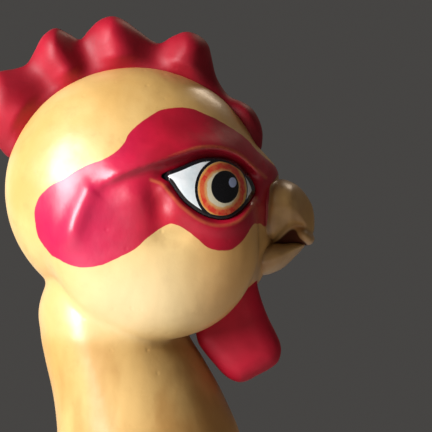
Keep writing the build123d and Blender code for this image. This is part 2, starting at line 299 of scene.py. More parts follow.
STEP = grid_step(0.5)
BEAK_STEP = grid_step(0.4)
SKULL = (-4.0, 0, 105.6)
SKULL_RADII = (35.1, 26.5, 33.3)
NECK_RADIUS = 24.68
EYE_EDGE = rounded([
    (3.8, 109.2), (8.6, 111.3), (11.7, 112.7), (14.1, 113.5), (16.8, 113.8), (19.5, 113.7),
    (22, 113), (24.5, 111.5), (26.1, 109.7), (27.4, 107.6), (28.1, 105.3), (27.2, 103.5),
    (25.7, 101.4), (23.7, 99.5), (21.6, 98.2), (19.3, 97.8), (17, 98.1), (14.6, 98.9),
    (12.1, 100.4), (9.6, 102.4), (7.6, 104.9), (5.9, 107.4)])
MASK_EDGE = rounded([
    (-30, 101), (-27, 105.5), (-21.9, 108.5), (-16, 111.8), (-11.5, 113.6),
    (-8, 115.7), (-6.3, 117.9), (-4.6, 120.8), (-1.1, 123.9), (3.2, 126.4), (8, 127.4),
    (13, 126.5), (17.9, 124.2), (21.4, 122.2), (24.9, 119.8), (30.1, 115), (34.8, 111),
    (34.1, 108.8), (32.5, 106.5), (32, 102.5), (31.6, 97.7), (31, 95.8), (29.3, 96.4),
    (28.1, 96.4), (26.9, 95.3), (25.5, 93.1), (24, 91.2), (22.1, 89.7), (20.1, 89.3),
    (17.7, 89.7), (15.3, 90.7), (12.9, 92.6), (10.5, 94.5), (7, 96.3), (4.8, 96),
    (0.3, 93.1), (-4.6, 89.3), (-11.8, 85.8), (-17.4, 85.1), (-21.8, 86.1), (-26.5, 89),
    (-29.5, 94)])
BROW = rounded([
    (-14.7, 106.1), (-8.6, 109.2), (-1.9, 111.8), (4.8, 114), (11.7, 116.2), (15.3, 116.8),
    (19, 116.7), (22.6, 115.7), (25, 114.3), (27.4, 112.1), (31.2, 108.8)], closed=False)
TEMPLE = rounded([
    (-11, 108), (-14.7, 106.1), (-16.5, 102.9), (-18.5, 98.3), (-20.2, 92.6),
    (-21.2, 88.3)], closed=False)
LOWER_LID = rounded([
    (0.8, 108), (3.7, 106.8), (5.9, 104.3), (8.2, 101.6), (10.7, 99.5), (12.9, 97.9),
    (15.3, 96.7), (17.7, 96.1), (20.1, 96.1), (22.6, 96.7), (25, 98.1), (27.4, 101),
    (28.6, 103.4)], closed=False)
BEAK_ROOT = rounded([
    (36, 110.4), (34, 108), (32.5, 104.8), (31.9, 101), (31.6, 96.5), (32.4, 92.4),
    (32, 90.2), (30.2, 87.6), (28.9, 83), (28.6, 79.5)], closed=False)


def over(curve, x, z):
    """Height of each (x, z) above an open curve, by its nearest points."""
    order = np.argsort(curve[:, 0])
    return z - np.interp(x, curve[order, 0], curve[order, 1])


def fold(x, z, curve, above, below, height):
    """A raised fold along a curve, with its own width above the curve and below it."""
    d, along = line_distance(curve, x, z)
    up = over(curve, x, z) > 0
    ends = smooth(along / 0.12) * smooth((1 - along) / 0.08)
    return height * ends * hump(d, np.where(up, above, below))


def bowl(x, z, centre, reach):
    """A soft swelling of height 1 seen from the side."""
    return hump(x - centre[0], reach[0]) * hump(z - centre[1], reach[1])


def oval(x, z, centre, radii):
    """How far out of an ellipse each (x, z) is: 1 on its edge."""
    return np.hypot((x - centre[0]) / radii[0], (z - centre[1]) / radii[1])


def face_relief(x, z):
    """How far the face stands out of the plain skull, seen from the side."""
    relief = fold(x, z, BROW, 4.2, 1.5, 1.9)
    relief += fold(x, z, LOWER_LID, 1.3, 2.8, 1.2)
    temple, along = line_distance(TEMPLE, x, z)
    relief += 1.3 * hump(temple, 3.0) * smooth(along / 0.3) * smooth((1 - along) / 0.3)
    eye = area_distance(EYE_EDGE, x, z)
    relief -= 0.6 * hump(np.maximum(eye - 0.6, 0), 1.4) * smooth((z - 103) / 3)
    relief -= 1.2 * smooth((0.5 - eye) / 1.2)
    for centre, reach, height in (
            ((-3.5, 103.5), (4.5, 3.5), 0.8), ((3.0, 101.0), (3.2, 7.0), -1.2),
            ((6.5, 93.2), (5.5, 2.8), -1.0), ((-8.0, 98.0), (6.0, 7.0), -0.7),
            ((-24.0, 97.0), (6.0, 10.0), 0.8)):
        relief += height * bowl(x, z, centre, reach)
    return relief


def head_base(clay):
    """Skull, cheeks, brow, muzzle and neck, before the face's relief."""
    skull = clay.ball(SKULL, SKULL_RADII)
    cheek = clay.ball((2.2, 16.7, 90.7), (26.9, 12.4, 25.3))
    muzzle = clay.ball((11.0, 0, 89.0), (20.5, 19.0, 17.5))
    bridge = clay.ball((26.5, 0, 109.0), (8.2, 8.5, 6.0))
    neck = clay.stack([
        (-12, 0, 24.2, 24.2), (-3, 0, 24.6, 24.6), (3, 0, 24.8, 24.8),
        (14, 0.5, 25.4, 25), (25, 0.8, 25.8, 25.1), (33, 0.6, 25.5, 24.8),
        (40.5, -0.4, 24.6, 23.8), (44.6, -1.4, 23.9, 23), (48.6, -2.6, 23.2, 22.3),
        (53, -4.1, 22.5, 21.6), (60.2, -7, 21.3, 20.6), (67, -9.6, 19.9, 19.8),
        (76, -11, 18.5, 18.5), (92, -9, 14, 14)])
    body = join(skull, bridge, 5.0)
    body = join(body, join(cheek, muzzle, 6.0), 7.0)
    front = clay.side(rounded([
        (12, 100), (18, 109), (26, 110), (31, 108), (32, 104), (31.7, 98.5), (31.7, 94.5),
        (32.1, 91.5), (30.4, 87.8), (28.9, 83.4), (25, 81), (16, 84)]))
    half = np.interp(clay.x, [12, 20, 26, 31], [17.0, 15.0, 12.8, 10.8])
    body = join(body, leaf(front, clay.y, half, 3.4), 4.0)
    return join(body, neck, 1.8)


def mark_neck_shade(obj, p):
    """How much painted shade each point of the neck has: most below the cheek, fading down the
    neck, more toward the front.
    """
    down = smooth((69 - p[:, 2]) / 6) * smooth((p[:, 2] + 50) / 80)
    mark(obj, "neck", down * (0.72 + 0.28 * smooth((p[:, 0] + 18) / 26)))


def make_head():
    """The head and the upper neck in one skin."""
    clay = Clay((-46, 0, -7), (42, 34, 144), STEP)
    relief = face_relief(*clay.side_grid())[:, None, :]
    field = head_base(clay) - relief * smooth((clay.y - 3) / 6)
    field = np.maximum(field, -4.0 - clay.z)
    head = clay.mesh(clay.mirror(field), "head")
    dent(head, (-28, -30, 6), (30, 30, 84), 110, (3.0, 7.0), 0.42)
    p = points_of(head)
    x, z = p[:, 0], p[:, 2]
    mark(head, "mask", area_distance(MASK_EDGE, x, z))
    mark(head, "eye", area_distance(EYE_EDGE, x, z))
    crest, along = line_distance(BROW, x, z)
    mark(head, "brow", crest + 1.2 * smooth((0.42 - along) / 0.30))
    mark(head, "lid", line_distance(LOWER_LID, x, z)[0])
    mark(head, "mouth", FAR)
    # painted shade: none on the head, full on the beaks
    mark(head, "beak_shade", 0.0)
    mark_neck_shade(head, p)
    # painted highlight on the cheek's lower rim
    mark(head, "pale", bowl(x, z, (-2.0, 77.0), (20.0, 13.0)) * smooth((z - 62) / 8))
    # painted pink sheen, stronger toward the back of the mask
    mark(head, "mask_sheen", smooth((6 - x) / 24))
    # painted warm shade on the front of the face and neck, the side turned away from the key
    # lamp
    mark(head, "tan", smooth((x - 4) / 20) * smooth((z - 2) / 36))
    # distance to the beak's root, where shade is painted into the crease
    mark(head, "crease", line_distance(BEAK_ROOT, x, z)[0])
    # distance to a line just under the brow's crest, where shade is painted
    mark(head, "under_brow_shade", line_distance(BROW, x + 0.6, z + 2.3)[0])
    return head


IRIS = (19.5, 105.6)
IRIS_RADII = (6.45, 7.37)
PUPIL = (20.2, 106.2)
PUPIL_RADII = (3.62, 4.3)
GLINT = (22.2, 107.4)
GLINT_RADII = (1.0, 1.35)


def make_eye(side):
    """One eye's painted dome, on the skull's own curve."""
    clay = Clay((1.0, 2.0, 94.0), (31.0, 30.0, 117.0), grid_step(0.35))
    edge = clay.side(EYE_EDGE)
    inside = np.clip((0.2 - edge) / 7.5, 0, 1)
    rise = 0.25 + 1.0 * np.sqrt(inside * (2 - inside)) - 2.2 * smooth((5.8 - clay.x) / 1.8)
    base = head_base(clay)
    field = np.maximum(np.maximum(base - rise, -(base + 3.2)), edge - 0.2)
    eye = clay.mesh(field, "eye_" + side)
    p = points_of(eye)
    x, z = p[:, 0], p[:, 2]
    mark(eye, "eye", area_distance(EYE_EDGE, x, z))
    iris = oval(x, z, IRIS, IRIS_RADII)
    mark(eye, "iris", iris)
    mark(eye, "pupil", oval(x, z, PUPIL, PUPIL_RADII))
    mark(eye, "glint", oval(x, z, GLINT, GLINT_RADII))
    past_iris = (iris - 1) * 6.9
    line = np.interp(x, [13, 19, 24, 26], [0.82, 0.75, 0.34, 0.28])
    mark(eye, "ring", np.abs(past_iris - line / 2) - line / 2)
    return on_side(eye, side)


COMB_EDGE = rounded([
    (-33, 112), (-39, 115), (-44, 123), (-44.8, 131), (-41.5, 137), (-36.5, 138.3),
    (-33.3, 139.6), (-31.2, 143), (-29, 147), (-25.6, 149.3), (-22, 147.8), (-18.9, 146.2),
    (-16.8, 148.4), (-13.8, 151.3), (-10.2, 152.5), (-6.8, 151.3), (-3.1, 148.6), (2.1, 145.2),
    (6, 147), (9.6, 148.3), (13, 147.4), (15.6, 145), (16.6, 141.6), (17.7, 136.8),
    (19.4, 133.4), (21.6, 130.8), (25, 129.3), (27.4, 127.7), (29.1, 125.3), (30.2, 122.3),
    (30.4, 119.2), (29.4, 115.6), (24, 112), (10, 121), (-4, 124), (-20, 120), (-28, 108)],
    steps=5)
COMB_ROOT = (-4.0, 106.0)
COMB_LOBES = (-56, -30, -7, 21, 55)
COMB_VALLEYS = (-75, -41, -20, 9, 39, 74)


def flutes(x, z, shift=0.0):
    """1 in the comb's valleys and 0 on its lobes; both fan out from the root, by degrees."""
    turns = sorted([(turn, 0) for turn in COMB_LOBES] + [(turn, 1) for turn in COMB_VALLEYS])
    turn = np.degrees(np.arctan2(x - COMB_ROOT[0], z - COMB_ROOT[1])) + shift
    return np.interp(turn, *zip(*turns))


def make_comb():
    """The comb: thick lobes with flutes that run down to the skull."""
    clay = Clay((-49, -11, 104), (35, 11, 157), STEP)
    edge = clay.side(COMB_EDGE)
    bulge = 0.5 + 0.5 * np.cos(np.pi * flutes(clay.x, clay.z))
    out = oval(clay.x, clay.z, COMB_ROOT, (SKULL_RADII[0], SKULL_RADII[2])) - 1
    half = 3.5 + 3.5 * bulge * smooth((out + 0.05) / 0.14)
    half = half + 0.8 * np.exp(-np.maximum(out, 0) / 0.05)
    comb = clay.mesh(leaf(edge, clay.y, half, 6.5), "comb")
    p = points_of(comb)
    # painted shade on the comb: some all over, most in the flutes, on each lobe's forward side
    # and toward the front
    comb_shade = smooth(flutes(p[:, 0], p[:, 2], shift=3.5))
    mark(comb, "comb_shade", 0.32 + 0.68 * np.maximum(comb_shade, smooth((p[:, 0] + 2) / 26)))
    return comb


def make_upper_beak():
    """The bulging upper beak with its hooked knob."""
    clay = Clay((18, -16, 84), (48, 16, 116), BEAK_STEP)
    edge = clay.side(rounded([
        (24, 110.5), (31, 110.2), (34.8, 108.5), (37, 107.5), (39.4, 106.4), (41.9, 104.3),
        (43.6, 101.8), (44.3, 98.9), (44.4, 96.2), (44.2, 93.3), (43.6, 91.8), (42.5, 90.9),
        (41.5, 91.6), (40.5, 93.4), (39.6, 94.9), (38, 95.2), (35.6, 93.4), (33.1, 91.6),
        (29, 90.8), (24, 91)]))
    wide = np.interp(clay.x, [22, 31, 34, 38, 41, 43, 45], [8.5, 9.6, 10.3, 9.0, 6.0, 4.4, 3.6])
    rim = np.clip(3.2 + 0.55 * (clay.z - 91), 3.0, 9.0)
    beak = leaf(edge, clay.y, wide, rim)
    knob = clay.ball((41.4, 0, 93.3), (3.3, 5.6, 2.2), 35)
    bridge = clay.ball((36.0, 0, 102.4), (4.6, 9.6, 5.0))
    palate_edge = clay.side(rounded([
        (24, 96), (34, 97), (41, 96.5), (42.4, 94), (42.2, 91.6), (40.8, 90.8), (36, 90.6),
        (30, 90.4), (24, 90.4)]))
    palate = leaf(palate_edge, clay.y, 3.6, 2.0)
    lip = rounded([(39.2, 95.6), (40.8, 95.9), (42.4, 95.1), (43.8, 93.6)], closed=False)
    shell = join(join(beak, knob, 0.8), bridge, 3.0)
    shell = shell + 0.4 * clay.near(lip, 0.7) + 0.3 * clay.near(BEAK_ROOT, 0.8)
    upper = clay.mesh(join(shell, palate, 0.6), "upper_beak")
    p = points_of(upper)
    # painted shade in the mouth's hollow under the upper beak
    mouth = rounded([(33.4, 90), (35.6, 92.6), (38, 94.6), (39.4, 94.3), (40.4, 92.8),
                     (41.6, 91), (38, 89.5)])
    mark(upper, "mouth", area_distance(mouth, p[:, 0], p[:, 2]) + 0.35 * (np.abs(p[:, 1]) - 4.5))
    mark_beak(upper)
    return upper


def mark_beak(beak):
    """The head's paint runs on over a beak's root, up to its crease."""
    p = points_of(beak)
    mark(beak, "mask", area_distance(MASK_EDGE, p[:, 0], p[:, 2]))
    mark(beak, "crease", line_distance(BEAK_ROOT, p[:, 0], p[:, 2])[0])
    # painted shade over the whole beak
    mark(beak, "beak_shade", 1.0)
    for name in ("eye", "brow", "lid", "under_brow_shade"):
        mark(beak, name, FAR)


def make_lower_beak():
    """The lower beak, a rounded scoop."""
    clay = Clay((18, -14, 78), (45, 14, 96), BEAK_STEP)
    edge = clay.side(rounded([
        (41.9, 91), (40.9, 89.4), (39.4, 87.8), (37, 85.4), (35.2, 84.1), (33.2, 83.2),
        (30.5, 82.5), (25, 82.5), (22, 86), (25, 91.5), (31, 91.3), (36, 91.2), (39.5, 91.5)]))
    wide = np.interp(clay.x, [22, 31, 35, 38, 40, 42.5], [8.5, 9.4, 8.6, 6.8, 5.2, 3.4])
    rim = np.clip(5.5 - 0.5 * (clay.z - 84), 1.6, 5.5)
    lower = clay.mesh(leaf(edge, clay.y, wide, rim), "lower_beak")
    p = points_of(lower)
    # painted shade along the lower beak's top edge, in the gap of the mouth
    mouth_wide = np.interp(p[:, 0], [31, 35, 38, 41], [7.0, 6.2, 4.6, 2.0])
    mark(lower, "mouth", np.maximum(91.5 - p[:, 2], np.abs(p[:, 1]) - mouth_wide))
    mark_beak(lower)
    return lower


WATTLE_ROOT = (4.5, 78.0)
WATTLE_MIDDLE = 5.4


def make_wattle(side):
    """One wattle, a thick leaf that hangs from the jaw."""
    clay = Clay((8, -1, 50), (40, 13, 92), STEP)
    edge = clay.side(rounded([
        (29, 84), (28.9, 80.5), (30.1, 75.9), (31.9, 71.2), (33.8, 67.4), (35, 64.6),
        (35.3, 62.1), (34.4, 59.3), (31.9, 57.3), (28.8, 55.7), (26.9, 54.6), (24.4, 53.9),
        (21.9, 54.6), (19.7, 56.2), (17.2, 59), (14.4, 62.4), (12.8, 65.2), (12.4, 70),
        (14.5, 76), (20, 84), (25, 87)]))
    half = 3.0 + 0.9 * bowl(clay.x, clay.z, (25, 61), (7, 7))
    y, z = clay.y - WATTLE_ROOT[0], clay.z - WATTLE_ROOT[1]
    bevel = 0.5 * z - 0.866 * y - 4.2
    field = np.maximum(leaf(edge, clay.y - WATTLE_MIDDLE, half, 5.0), bevel)
    wattle = clay.mesh(field, "wattle_" + side)
    return on_side(wattle, side)


# ---------------------------- body, in millimetres

TORSO = [
    (-40, 0, 24.4, 24.4), (-54, 0.6, 25.6, 25.8), (-70, 2.4, 29.6, 30), (-86, 5, 37, 38.5),
    (-106, 8.5, 45.5, 47.5), (-134, 10, 51, 53), (-160, 6.5, 49.5, 52.5), (-184, 0, 44, 46),
    (-202, -5.5, 35, 33.5), (-214, -8, 26.5, 24), (-223.4, -8, 19, 17.5)]
VENT_X = -8.0
HIP = np.array((-2.0, 38.5, -190.0))
HOCK_Z = -268.0
ANKLE_Z = -338.0
SCUTE_LENGTH = 4.4
TOES = ((-29, 42, 34, 4.4), (0, 40, 37, 4.6), (29, 42, 34, 4.4), (180, 60, 17, 4.0))
TOE_BONES = 4
WING_HINGE = np.array((9.0, 43.0, -95.0))
TAIL_PIVOT = np.array((-36.0, 0.0, -198.0))
TAIL_DROOP = math.radians(42)
TAIL_AXIS = np.array((-math.cos(TAIL_DROOP), 0, -math.sin(TAIL_DROOP)))
BUMP_RADIUS = 1.35
BUMP_HEIGHT = 0.5
SCATTER_SIZE = 4096
SCATTER_PRIMES = (73, 179, 283)


def nearest_follicle(p, spacing, seed):
    """Distance from each point to the nearest of a jittered scatter this far apart."""
    table = np.random.default_rng(seed).uniform(0.15, 0.85, (SCATTER_SIZE, 3))
    cell = np.floor(p / spacing).astype(int)
    best = np.full(len(p), 1e9)
    for offset in itertools.product((-1, 0, 1), repeat=3):
        near = cell + offset
        key = near @ SCATTER_PRIMES % SCATTER_SIZE
        place = (near + table[key]) * spacing
        best = np.minimum(best, ((p - place) ** 2).sum(axis=1))
    return np.sqrt(best)


def pluck(obj, strength, spacing, seed):
    """Raises the small bumps that a plucked skin has, and stores where they are."""
    bump = strength * hump(nearest_follicle(points_of(obj), spacing, seed), BUMP_RADIUS)
    push_out(obj, BUMP_HEIGHT * bump)
    mark(obj, "follicle", bump)


def torso_base(clay):
    """The plain torso with its neck."""
    torso = clay.stack(TORSO)
    neck = clay.limb((0, 0, 8), (0, 0, -60), NECK_RADIUS, NECK_RADIUS)
    return join(torso, neck, 3.0)


def hip_room(clay):
    """The room for the left thigh: a socket round the hip, and its sweep beside the rump."""
    ahead, up = clay.x - HIP[0], clay.z - HIP[2]
    forward, back = math.radians(60), math.radians(35)
    sweep = np.maximum(ahead * math.cos(forward) + up * math.sin(forward),
                       -ahead * math.cos(back) + up * math.sin(back)) - 18.2
    sweep = np.maximum(sweep, np.maximum(21.0 - clay.y, up - 2.0))
    return join(clay.ball(HIP, (16.6, 16.6, 16.6)), sweep, 4.0)


def make_torso():
    """Torso and lower neck in one skin, with breast, flanks, spine, rump, vent and creases."""
    clay = Clay((-52, 0, -230), (66, 62, 8), grid_step(0.9))
    breast = clay.ball((46, 0, -128), (14, 7, 42))
    flank = clay.ball((-2, 30, -180), (27, 20, 20))
    shoulder = clay.ball((9, 37, -96), (16, 9, 12))
    rump = clay.ball((-29, 0, -193), (16, 15, 17))
    field = torso_base(clay)
    for lump, softness in ((breast, 12), (flank, 8), (shoulder, 6), (rump, 7)):
        field = join(field, lump, softness)
    field = cut(field, hip_room(clay), 6.0)
    heights, centres, lengths = (np.array(column)[::-1] for column in list(zip(*TORSO))[:3])
    for z in range(-58, -158, -12):
        back = np.interp(z, heights, centres - lengths)
        field = join(field, clay.ball((back + 2.6, 0, z), (4.4, 4.6, 4.8)), 4.0)
    vent = np.hypot(clay.x - VENT_X, clay.y) - 9.6
    field = np.maximum(field, -np.maximum(vent, clay.z + 200))
    for height, depth in ((-18, 0.45), (-31, 0.6), (-45, 0.7), (-58, 0.5)):
        crease = height + 2.2 * np.sin(clay.x / 9 + height) + 1.2 * np.cos(clay.y / 6 + height)
        field = field + depth * hump(clay.z - crease, 1.6)
    field = np.maximum(field, clay.z - 3.0)
    torso = clay.mesh(clay.mirror(field), "torso")
    p = points_of(torso)
    mark_neck_shade(torso, p)
    dent(torso, (-50, -55, -220), (60, 55, -60), 90, (6, 14), 0.9)
    pluck(torso, smooth((-30 - p[:, 2]) / 40) * smooth((p[:, 2] + 222) / 12), 7.0, 3)
    return torso


def make_wing(side):
    """A folded, plucked wing that hugs the flank: upper arm, forearm and tip."""
    clay = Clay((-46, 28, -168), (36, 72, -84), grid_step(0.7))
    edge = clay.side(rounded([
        (6, -90), (15, -88.5), (23, -91), (28, -99), (29, -108), (25.5, -120), (17, -131),
        (6, -140), (-6, -148), (-20, -155), (-32, -160), (-38.5, -158.5), (-39.5, -151.5),
        (-34, -141), (-27, -131.5), (-19, -122), (-11, -112), (-5, -101), (-1, -93)]))
    away = torso_base(clay) - 6.2
    half = 3.2 + 1.6 * bowl(clay.x, clay.z, (14, -105), (16, 18))
    elbow = rounded([(26, -118), (14, -117), (3, -112), (-6, -104)], closed=False)
    groove = 2.2 * clay.near(elbow, 2.2)
    for i in range(5):
        quill = rounded([(12 - 6.5 * i, -121 - 3.4 * i), (4 - 6.8 * i, -131 - 3.6 * i),
                         (-6 - 6.6 * i, -139.5 - 3.9 * i)], closed=False)
        along = line_distance(quill, *clay.side_grid())[1][:, None, :]
        groove = np.maximum(groove, 1.7 * clay.near(quill, 1.5) * smooth(along / 0.4))
    muscle = rounded([(22, -98), (15, -108), (4, -108)], closed=False)
    relief = 1.6 * clay.near(muscle, 4.5) - groove * smooth((-edge - 1.0) / 5)
    field = leaf(edge, away, half, 7.5) - relief * (away > -1)
    root = clay.limb(WING_HINGE + (-7, -1.0, 1), WING_HINGE + (8, -1.5, 1), 4.6, 4.4)
    wing = clay.mesh(join(field, root, 4.0), "wing_" + side)
    p = points_of(wing)
    pluck(wing, 0.8 * smooth((p[:, 1] - 44) / 5) * smooth((p[:, 2] + 128) / 10), 5.6, 11)
    return on_side(wing, side)


def make_thigh(side):
    """A drumstick: hip ball, calf and the cuff over the hock."""
    x, y, _ = HIP
    clay = Clay((x - 22, y - 22, -282), (x + 22, y + 22, -168), grid_step(0.8))
    rings = [(-190, x, 15.6, 15.6), (-200, x - 0.4, 17.6, 17.4), (-214, x - 1, 17.5, 16.8),
             (-228, x - 1.2, 15.2, 14.6), (-242, x - 0.8, 12.4, 12), (-254, x, 10.8, 10.6),
             (-262, x, 10.5, 10.4), (-265, x, 10.9, 10.8), (-266.5, x, 10.2, 10.2)]
    field = join(clay.stack(rings, middle=y), clay.ball(HIP, (17.2, 17.2, 17.2)), 4.0)
    for height in (-252.5, -257.5):
        field = field + 0.5 * hump(clay.z - height - 0.8 * np.sin(clay.x / 4), 1.2)
    thigh = clay.mesh(field, "thigh_" + side)
    p = points_of(thigh)
    dent(thigh, (x - 18, y - 18, -260), (x + 18, y + 18, -180), 26, (4, 8), 0.7)
    pluck(thigh, smooth((p[:, 2] + 250) / 10), 5.6, 5)
    return on_side(thigh, side)


def scutes(clay):
    """Overlapping plates round a shank, deeper at the front than behind."""
    phase = (clay.z / SCUTE_LENGTH) % 1.0
    step = smooth(phase / 0.22) * (1 - phase)
    facing = smooth((clay.x - HIP[0] + 2.5) / 5)
    return (0.25 + 0.95 * facing) * step


def make_shank(side):
    """The scaly upper shank with its hock."""
    x, y, _ = HIP
    clay = Clay((x - 14, y - 13, -309), (x + 13, y + 13, -256), grid_step(0.55))
    hock = clay.ball((x, y, HOCK_Z), (9.6, 9.3, 10.0))
    heel = clay.ball((x - 5.5, y, HOCK_Z - 3), (5.2, 6.0, 6.5))
    rod = clay.limb((x, y, HOCK_Z), (x, y, -312), 7.4, 6.5)
    field = join(join(hock, heel, 3.0), rod, 4.0) - scutes(clay)
    shank = clay.mesh(np.maximum(field, -304.0 - clay.z), "shank_" + side)
    mark(shank, "claw", FAR)
    return on_side(shank, side)


def toe_points(yaw, pitch, length):
    """Points down a toe from the foot's middle: it flattens toward the tip."""
    ahead, aside = math.cos(math.radians(yaw)), math.sin(math.radians(yaw))
    here = np.array((HIP[0], HIP[1], ANKLE_Z - 10.0))
    points = [here]
    for i in range(TOE_BONES):
        tilt = math.radians(pitch + 8 - 8.8 * i / TOE_BONES)
        level = math.cos(tilt)
        way = np.array((ahead * level, aside * level, -math.sin(tilt)))
        here = here + way * length / TOE_BONES
        points.append(here)
    return points


def make_foot(side):
    """Lower shank, ankle and four clawed toes with knuckles."""
    x, y, _ = HIP
    clay = Clay((x - 22, y - 22, -385), (x + 36, y + 22, -302), grid_step(0.6))
    rod = clay.limb((x, y, -296), (x, y, ANKLE_Z), 6.7, 6.1)
    field = join(rod, clay.ball((x, y, ANKLE_Z), (7.7, 7.4, 7.4)), 3.0)
    field = field - scutes(clay) * smooth((clay.z + 332) / 6)
    toes = clay.ball((x + 1.5, y, ANKLE_Z - 9.5), (8.5, 8.0, 6.0))
    tips = []
    for yaw, pitch, length, size in TOES:
        track = toe_points(yaw, pitch, length)
        for i, (p, q) in enumerate(zip(track, track[1:])):
            thick = size * (1 - 0.13 * i)
            toes = join(toes, clay.limb(p, q, thick * 0.92, thick * 0.86), 1.2)
            toes = join(toes, clay.ball(q, (thick * 1.08, thick * 1.02, thick * 0.98)), 1.2)
        ahead = (q - p) / np.linalg.norm(q - p)
        claw = q + ahead * 5.5 + (0, 0, -1.6)
        toes = join(toes, clay.limb(q, claw, size * 0.50, 0.7), 0.7)
        tips.append((q + ahead * 1.4, claw))
    field = np.maximum(join(field, toes, 3.5), clay.z + 301.0)
    foot = clay.mesh(field, "foot_" + side)
    p = points_of(foot)
    claw = np.full(len(p), FAR)
    for root, tip in tips:
        way = (tip - root) / np.linalg.norm(tip - root)
        close = np.linalg.norm(p - tip, axis=1) < FAR
        claw = np.where(close, np.minimum(claw, -((p - root) @ way)), claw)
    mark(foot, "claw", claw)
    return on_side(foot, side)


def make_tail():
    """The tail: a ridged, blunt cone on its root ball."""
    clay = Clay((-66, -16, -228), (-22, 16, -182), grid_step(0.6))
    field = clay.ball(TAIL_PIVOT, (10, 10, 10))
    field = join(field, clay.limb(TAIL_PIVOT, TAIL_PIVOT + TAIL_AXIS * 24, 9.3, 5.2), 2.0)
    for spread in (-1, 1):
        tip = TAIL_PIVOT + TAIL_AXIS * 21 + (0, 5.0 * spread, 1.5)
        field = join(field, clay.limb(TAIL_PIVOT + (0, 2.5 * spread, 0), tip, 6.0, 3.4), 1.4)
    tail = clay.mesh(field, "tail")
    p = points_of(tail)
    pluck(tail, smooth(((p - TAIL_PIVOT) @ TAIL_AXIS - 4) / 6), 5.0, 9)
    return tail


def make_collar():
    """The soft ring in the vent, with a rounded lip inside and grooves round its bore."""
    clay = Clay((-22, -14, -226), (6, 14, -214), grid_step(0.45))
    radius = np.hypot(clay.x - VENT_X, clay.y)
    wall = np.maximum(np.abs(radius - 10.8) - 1.0, np.abs(clay.z + 220.6) - 3.1) - 0.2
    lip = np.hypot(radius - 11.2, clay.z + 217.6) - 1.0
    grooves = 0.18 * np.cos(clay.z * 2.6) * (radius < 10.8)
    return clay.mesh(join(wall, lip, 0.6) + grooves, "vent_collar")


# ---------------------------- materials

def fill(node, values):
    """Sets a node's inputs by their names."""
    for name, value in values.items():
        node.inputs[name].default_value = value


class Paint:
    """A small helper that wires one material's nodes."""

    def __init__(self, name, roughness, coat=0.0, coat_roughness=0.1):
        self.material = bpy.data.materials.new(name)
        self.material.use_nodes = True
        self.nodes = self.material.node_tree.nodes
        self.links = self.material.node_tree.links
        self.shader = self.nodes["Principled BSDF"]
        fill(self.shader, {"Roughness": roughness, "Coat Weight": coat,
                           "Coat Roughness": coat_roughness})
        self.place = self.nodes.new("ShaderNodeTexCoord").outputs["Object"]

    def attribute(self, name):
        """The number stored per point under this name."""
        node = self.nodes.new("ShaderNodeAttribute")
        node.attribute_name = name
        return node.outputs["Fac"]

    def noise(self, size_mm, detail=3.0, rough=0.5, stretch=(1, 1, 1)):
        """Noise whose features are about this large."""
        mapping = self.nodes.new("ShaderNodeMapping")
        fill(mapping, {"Scale": stretch})
        self.links.new(self.place, mapping.inputs["Vector"])
        node = self.nodes.new("ShaderNodeTexNoise")
        fill(node, {"Scale": 1000.0 / size_mm, "Detail": detail, "Roughness": rough})
        self.links.new(mapping.outputs["Vector"], node.inputs["Vector"])
        return node.outputs["Fac"]

    def cells(self, size_mm):
        """Distance to the nearest point of a scatter this far apart."""
        node = self.nodes.new("ShaderNodeTexVoronoi")
        fill(node, {"Scale": 1000.0 / size_mm})
        self.links.new(self.place, node.inputs["Vector"])
        return node.outputs["Distance"]

    def ramp(self, value, low, high, to_low=0.0, to_high=1.0, soft=True):
        """value from low..high to to_low..to_high, clamped."""
        node = self.nodes.new("ShaderNodeMapRange")
        node.interpolation_type = "SMOOTHSTEP" if soft else "LINEAR"
        fill(node, {"From Min": low, "From Max": high, "To Min": to_low, "To Max": to_high})
        self.links.new(value, node.inputs["Value"])
        return node.outputs["Result"]

    def math(self, kind, a, b):
        """Two values put together, the second a number or an output."""
        node = self.nodes.new("ShaderNodeMath")
        node.operation = kind
        self.links.new(a, node.inputs[0])
        if isinstance(b, (int, float)):
            node.inputs[1].default_value = b
        else:
            self.links.new(b, node.inputs[1])
        return node.outputs[0]

    def share_of(self, name, share):
        """This much of the number stored under this name."""
        return self.math("MULTIPLY", self.attribute(name), share)

    def blend(self, share, a, b):
        """Colour a turned to colour b by share; each is a colour or an output."""
        node = self.nodes.new("ShaderNodeMix")
        node.data_type = "RGBA"
        self.links.new(share, node.inputs[0])
        for socket, colour in ((node.inputs[6], a), (node.inputs[7], b)):
            if isinstance(colour, tuple):
                socket.default_value = (*colour, 1.0)
            else:
                self.links.new(colour, socket)
        return node.outputs[2]

    def colour(self, output):
        """Sets the base colour."""
        self.links.new(output, self.shader.inputs["Base Color"])

    def bump(self, height, depth_mm):
        """Adds a bump of this depth, on top of any before it."""
        node = self.nodes.new("ShaderNodeBump")
        fill(node, {"Strength": 1.0, "Distance": depth_mm * MM})
        self.links.new(height, node.inputs["Height"])
        before = self.shader.inputs["Normal"].links
        if before:
            self.links.new(before[0].from_socket, node.inputs["Normal"])
        self.links.new(node.outputs["Normal"], self.shader.inputs["Normal"])

    def roughness(self, value, low, high):
        """Roughness that follows a value of 0..1."""
        self.links.new(self.ramp(value, 0.25, 0.75, low, high), self.shader.inputs["Roughness"])


SKIN_PALE = (0.79, 0.555, 0.215)
SKIN_WARM = (0.66, 0.39, 0.115)
FRECKLE = (0.52, 0.28, 0.08)
BLUSH = (0.62, 0.28, 0.10)
# painted shade for the neck below the cheek
NECK_PAINTED_SHADE = (0.47, 0.26, 0.08)
# painted highlight on the cheek
CHEEK_PAINTED_LIGHT = (0.93, 0.76, 0.42)
# painted warm shade for the front of the face
FRONT_PAINTED_SHADE = (0.84, 0.42, 0.13)
